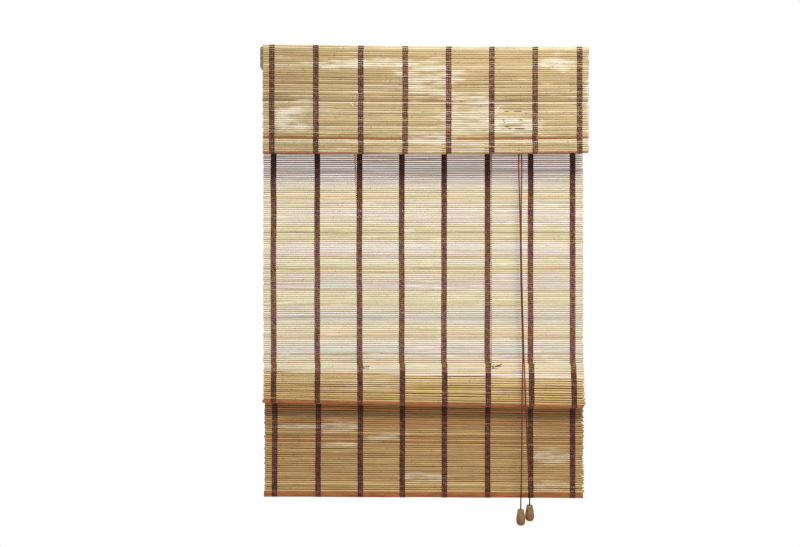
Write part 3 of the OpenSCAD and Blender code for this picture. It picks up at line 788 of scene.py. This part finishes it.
wire_faces = copies(staple_faces, len(bands), len(staple_points))
staples = finished("rail_staples", wire_points, wire_faces, zinc, smooth=False)
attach(staples, "rail")


# Cords: red-brown twisted cotton, 2.4 mm thick. Each runs from its tie behind the mat, through the mat
# under the rail, through the screw eyes and the lock, and down in front to its tassel.
cord_d = 0.0024
lock_x, guide_x, join_x = 0.1815, 0.1762, 0.1737
rail_run_z, guide_z, lock_end_z = -0.0472, -0.0525, -0.066
lift_y, eye_run_z, pierce_z = 0.0172, -0.0476, -0.050
bar_bend, lift_bend, eye_bend = 0.0053, 0.0025, 0.004
past_tie = 0.003
cord_ys = {"left": -0.0045, "right": -0.0015}
cord_red, tree, shader = new_material("cord_red_brown")
# The colour follows the plies: painted darker in the grooves between them, painted shade, and darker still
# on the soiled end.
groove_shade_and_soil = add_node(tree, "ShaderNodeAttribute", attribute_name="groove_shade_and_soil").outputs["Fac"]
ply = ramp(tree, groove_shade_and_soil, [(0.0, "#4A1711"), (0.25, "#561E16"), (0.6, "#843F31"), (1.0, "#A45644")])
lint = add_node(tree, "ShaderNodeTexNoise", {"Vector": object_place(tree), "Scale": 1800}).outputs["Fac"]
set_inputs(tree, shader, {
    "Base Color": tinted(tree, ply, lint, 0.2),
    "Roughness": 0.85,
    "Specular IOR Level": 0.1,
    "Normal": bump(tree, lint, 0.0002, 0.6),
})


def eased(route, step, rounds=4):
    """A route of points with its corners cut until it is one smooth curve, then spaced evenly."""
    p = np.array(route, float)
    for _ in range(rounds):
        q = [p[0]]
        for a, b in zip(p[:-1], p[1:]):
            cut = min(0.25, 0.006 / max(np.linalg.norm(b - a), 1e-9))
            q += [a + cut * (b - a), b - cut * (b - a)]
        q.append(p[-1])
        p = np.array(q)
    run = run_along(p)
    at = np.linspace(0, run[-1], max(4, int(run[-1] / step)))
    return np.stack([np.interp(at, run, p[:, k]) for k in range(3)], axis=1)


def twisted_cord(name, line, radius=cord_d / 2, soiled=0.0):
    """Three plies laid round each other, as one lobed tube down the line.

    The last stretch, of the length soiled, is darkened by hands."""
    sides, lay = 12, 0.0075
    tangent = np.gradient(line, axis=0)
    tangent /= np.linalg.norm(tangent, axis=1)[:, None]
    run = run_along(line)
    u = np.cross(tangent[0], (0, 1, 0.3))
    points, lobes = [], []
    angle = np.arange(sides) * 2 * np.pi / sides
    for p, t, s in zip(line, tangent, run):
        u = u - t * (u @ t)
        u /= np.linalg.norm(u)
        v = np.cross(t, u)
        lobe = np.cos(3 * (angle - 2 * np.pi * s / lay))
        r = radius * (1.0 + 0.07 * lobe)
        points.append(p + np.outer(r * np.cos(angle), u) + np.outer(r * np.sin(angle), v))
        clean = np.interp(s, [run[-1] - soiled, run[-1] - 0.5 * soiled], [1, 0.3]) if soiled else 1
        lobes.append((0.5 + 0.5 * lobe) * clean)
    n = len(line)
    faces = []
    for j in range(0, (n - 1) * sides, sides):
        for k in range(sides):
            m = (k + 1) % sides
            faces.append((j + k, j + m, j + sides + m, j + sides + k))
    faces += [tuple(reversed(range(sides))), tuple((n - 1) * sides + k for k in range(sides))]
    piece = finished(name, np.concatenate(points), faces, cord_red)
    set_values(piece, "groove_shade_and_soil", np.concatenate(lobes))
    return piece


tie_xs = {"left": -0.1135, "right": 0.129}
eye_xs = {"left": -0.131, "right": 0.131}
# The middle of a bend lies this share of its radius off either leg.
bend_in = 0.29
for side in ("left", "right"):
    y, eye, tie = cord_ys[side], eye_xs[side], tie_xs[side]
    hole = eye - 0.0015
    route = [
        (join_x, y, rail_run_z),
        (join_x - 0.008, y, rail_run_z),
        (eye + 0.020, y, rail_run_z),
        (hole + eye_bend, y, eye_run_z),
        (hole + bend_in * eye_bend, y + bend_in * eye_bend, eye_run_z),
        (hole, y + eye_bend, eye_run_z),
        (hole, main_y - 0.0028, pierce_z),
        (hole, lift_y - lift_bend, pierce_z),
        (hole, lift_y - bend_in * lift_bend, pierce_z - bend_in * lift_bend),
        (hole, lift_y, pierce_z - lift_bend),
        (hole, lift_y, pierce_z - 0.020),
        (tie, lift_y, tie_z + 0.001),
        (tie, lift_y, tie_z - past_tie),
    ]
    cord = twisted_cord(f"lift_cord_{side}_twisted", eased(route, 0.0012))
    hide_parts(f"lift_cord_{side}")
    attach(cord, "rail")
    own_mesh(cord)

# The pull cords hang in slight curves, given as (how far aside, share of the fall).
tassel_tops = {"left": (lock_x, -0.8585), "right": (lock_x + 0.017, -0.8515)}
fall_top, tassel_lead = -0.042, 0.012
sway = {
    "left": [
        (-0.004, 0.22), (-0.0025, 0.28), (-0.0005, 0.38), (0.0005, 0.49),
        (0.004, 0.65), (0.0025, 0.75), (0.0015, 0.92),
    ],
    "right": [
        (0.0025, 0.22), (0.0015, 0.28), (0.001, 0.38), (0.0025, 0.49),
        (0.006, 0.65), (0.010, 0.77), (0.015, 0.94),
    ],
}
pull_lines, pull_cords = {}, {}
for side in ("left", "right"):
    y = cord_ys[side]
    end_x, end_z = tassel_tops[side]
    fall = fall_top - end_z
    route = [(join_x, y, rail_run_z)]
    for degrees in (90, 67.5, 45, 22.5, 0):
        a = math.radians(degrees)
        route.append((guide_x + bar_bend * math.cos(a), y, guide_z + bar_bend * math.sin(a)))
    route.append((lock_x, y, lock_end_z))
    route += [(lock_x + dx, y, fall_top - share * fall) for dx, share in sway[side]]
    route += [(end_x, y, end_z + tassel_lead), (end_x, y, end_z)]
    pull_lines[side] = eased(route, 0.0011)
    pull_cords[side] = twisted_cord(f"pull_cord_{side}_twisted", pull_lines[side], soiled=0.050)
    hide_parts(f"pull_cord_{side}")
    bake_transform(pull_cords[side])


# Tie knots: each lift cord's end is drawn through the mat at the head of the pleat,
# knotted in front and left with a short tail.
knot_y = 0.0103
knot_z = tie_z - 0.006
for side, tail, rise in (("left", 0.0135, 0.001), ("right", 0.019, 0.005)):
    x = tie_xs[side]
    route = [
        (x, lift_y, tie_z - past_tie),
        (x, lift_y, knot_z + 0.002),
        (x, lift_y - 0.0006, knot_z + 0.0006),
        (x, lift_y - 0.002, knot_z),
        (x, knot_y + 0.003, knot_z),
        (x + 0.001, knot_y + 0.0008, knot_z),
    ]
    for k in range(1, 9):
        a = 2 * math.pi * k / 8
        loop_y_at, loop_z_at = knot_y - 0.0002 + 0.0008 * math.cos(a), knot_z + 0.0010 * math.sin(a)
        route.append((x + 0.001 + 0.0003 * k, loop_y_at, loop_z_at))
    route += [(x + 0.007, knot_y, knot_z), (x + tail, knot_y, knot_z + rise)]
    knot = twisted_cord(f"tie_knot_{side}_tied", eased(route, 0.0006, 3), cord_d * 0.4)
    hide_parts(f"tie_knot_{side}")
    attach(knot, "folds")


# Tassels: turned wooden pulls threaded on the cords, each held by a knot in a pocket underneath.
# Hands have browned their lower ends.
tassel_h = 0.029
turned_wood, tree, shader = new_material("turned_wood")
upright = add_node(tree, "ShaderNodeMapping", {"Vector": object_place(tree), "Scale": (1.0, 1.0, 0.12)})
turned = add_node(
    tree, "ShaderNodeTexNoise", {"Vector": upright.outputs["Vector"], "Scale": 700, "Detail": 6}
).outputs["Fac"]
turned_colour = ramp(tree, turned, [(0.30, "#5F4626"), (0.50, "#89693B"), (0.72, "#A5834E")])
handled = add_node(tree, "ShaderNodeAttribute", attribute_name="handled").outputs["Fac"]
handled_edge = add_node(tree, "ShaderNodeMath", {0: turned, 1: 0.5, 2: handled}, operation="MULTIPLY_ADD")
handled_mask = add_node(tree, "ShaderNodeMapRange", {
    "Value": handled_edge.outputs["Value"], "From Min": 0.66, "From Max": 1.15, "To Max": 0.9,
})
browned = add_node(tree, "ShaderNodeMix", {
    "Factor": handled_mask.outputs["Result"], "A": turned_colour, "B": paint("#9B4A12"),
}, data_type="RGBA")
set_inputs(tree, shader, {
    "Base Color": browned.outputs["Result"],
    "Roughness": 0.38,
    "Coat Weight": 0.15,
    "Normal": bump(tree, turned, 0.0002, 0.4),
})
# The outline is given as (radius, share of the height), from the cord's hole round to the pocket.
tassel_profile = [
    (0.0014, 1.0), (0.0043, 1.0), (0.0051, 0.990), (0.0056, 0.965), (0.0061, 0.88), (0.0067, 0.76),
    (0.0074, 0.62), (0.0080, 0.50), (0.0084, 0.38), (0.0084, 0.28), (0.0080, 0.18), (0.0072, 0.09),
    (0.0061, 0.03), (0.0049, 0.005), (0.0042, 0.0), (0.0036, 0.004), (0.0036, 0.31), (0.0014, 0.31),
]
for side in ("left", "right"):
    x, z = tassel_tops[side]
    rim = [(r, 0, z - tassel_h + share * tassel_h) for r, share in tassel_profile]
    outline = bpy.data.meshes.new(f"tassel_{side}_turned")
    outline.from_pydata(rim, [(i, (i + 1) % len(rim)) for i in range(len(rim))], [])
    tassel = bpy.data.objects.new(f"tassel_{side}_turned", outline)
    bpy.context.scene.collection.objects.link(tassel)
    bpy.ops.object.select_all(action="DESELECT")
    tassel.select_set(True)
    bpy.context.view_layer.objects.active = tassel
    bpy.ops.object.mode_set(mode="EDIT")
    bpy.ops.mesh.select_all(action="SELECT")
    bpy.ops.mesh.spin(steps=40, angle=2 * math.pi, center=(0, 0, 0), axis=(0, 0, 1))
    bpy.ops.mesh.select_all(action="SELECT")
    bpy.ops.mesh.remove_doubles(threshold=1e-6)
    bpy.ops.mesh.normals_make_consistent(inside=False)
    bpy.ops.object.mode_set(mode="OBJECT")
    co = np.array([v.co for v in tassel.data.vertices]) + (x, cord_ys[side], 0)
    tassel.data.vertices.foreach_set("co", co.ravel())
    set_values(tassel, "handled", (z - co[:, 2]) / tassel_h)
    bpy.ops.object.shade_smooth_by_angle(angle=math.radians(35))
    tassel.data.materials.append(turned_wood)
    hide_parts(f"tassel_{side}")
    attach(tassel, f"{side}_pull")
    coat(f"tassel_knot_{side}", cord_red)


# Studio: a white room. A soft lamp stands high in front and to the right, the room fills the rest,
# and a pale floor lies far below.
world = bpy.data.worlds.new("white_room")
bpy.context.scene.world = world
world.use_nodes = True
sky = world.node_tree
ray = add_node(sky, "ShaderNodeLightPath").outputs
seen = add_node(
    sky, "ShaderNodeMath", {0: ray["Is Camera Ray"], 1: ray["Is Glossy Ray"]}, operation="MAXIMUM"
)
level = add_node(sky, "ShaderNodeMapRange", {"Value": seen.outputs["Value"], "To Min": 0.28, "To Max": 1.0})
set_inputs(sky, sky.nodes["Background"], {"Color": (1, 1, 1, 1), "Strength": level.outputs["Result"]})

floor_white, tree, shader = new_material("floor_white")
set_inputs(tree, shader, {"Base Color": (0.9, 0.9, 0.9, 1), "Roughness": 0.9})
floor_ray = add_node(tree, "ShaderNodeLightPath").outputs["Is Camera Ray"]
floor_glow = add_node(tree, "ShaderNodeEmission").outputs["Emission"]
floor_mix = add_node(
    tree, "ShaderNodeMixShader", {"Fac": floor_ray, 1: shader.outputs["BSDF"], 2: floor_glow}
)
set_inputs(tree, tree.nodes["Material Output"], {"Surface": floor_mix.outputs["Shader"]})
bpy.ops.object.select_all(action="DESELECT")
bpy.ops.mesh.primitive_plane_add(size=8, location=(0, 0, -1.6))
floor = bpy.context.object
floor.name = "floor"
floor.data.materials.append(floor_white)

lamp = bpy.data.lights.new("key_lamp", "AREA")
lamp.shape = "DISK"
lamp.size = 1.0
lamp.energy = 83
key = bpy.data.objects.new("key_lamp", lamp)
bpy.context.scene.collection.objects.link(key)
key.location = (0.45, -1.20, 1.75)
aim = np.array([0, 0, -0.42]) - np.array(key.location)
lean_back = math.atan2(math.hypot(aim[0], aim[1]), -aim[2])
key.rotation_euler = (lean_back, 0, math.atan2(aim[1], aim[0]) - math.pi / 2)


# Camera: level, in front and a little to the left of the blind's middle, as the photograph was taken.
focal_px, picture_px = 757.0, 800
sensor_w = 36
camera_data = bpy.data.cameras.new("camera")
camera_data.sensor_width = sensor_w
camera_data.lens = sensor_w * focal_px / picture_px
camera = bpy.data.objects.new("camera", camera_data)
bpy.context.scene.collection.objects.link(camera)
camera.location = (-0.0427, -1.410, -0.4208)
camera.rotation_euler = (math.pi / 2, 0, 0)
bpy.context.scene.camera = camera
bpy.context.scene.view_settings.view_transform = "Standard"
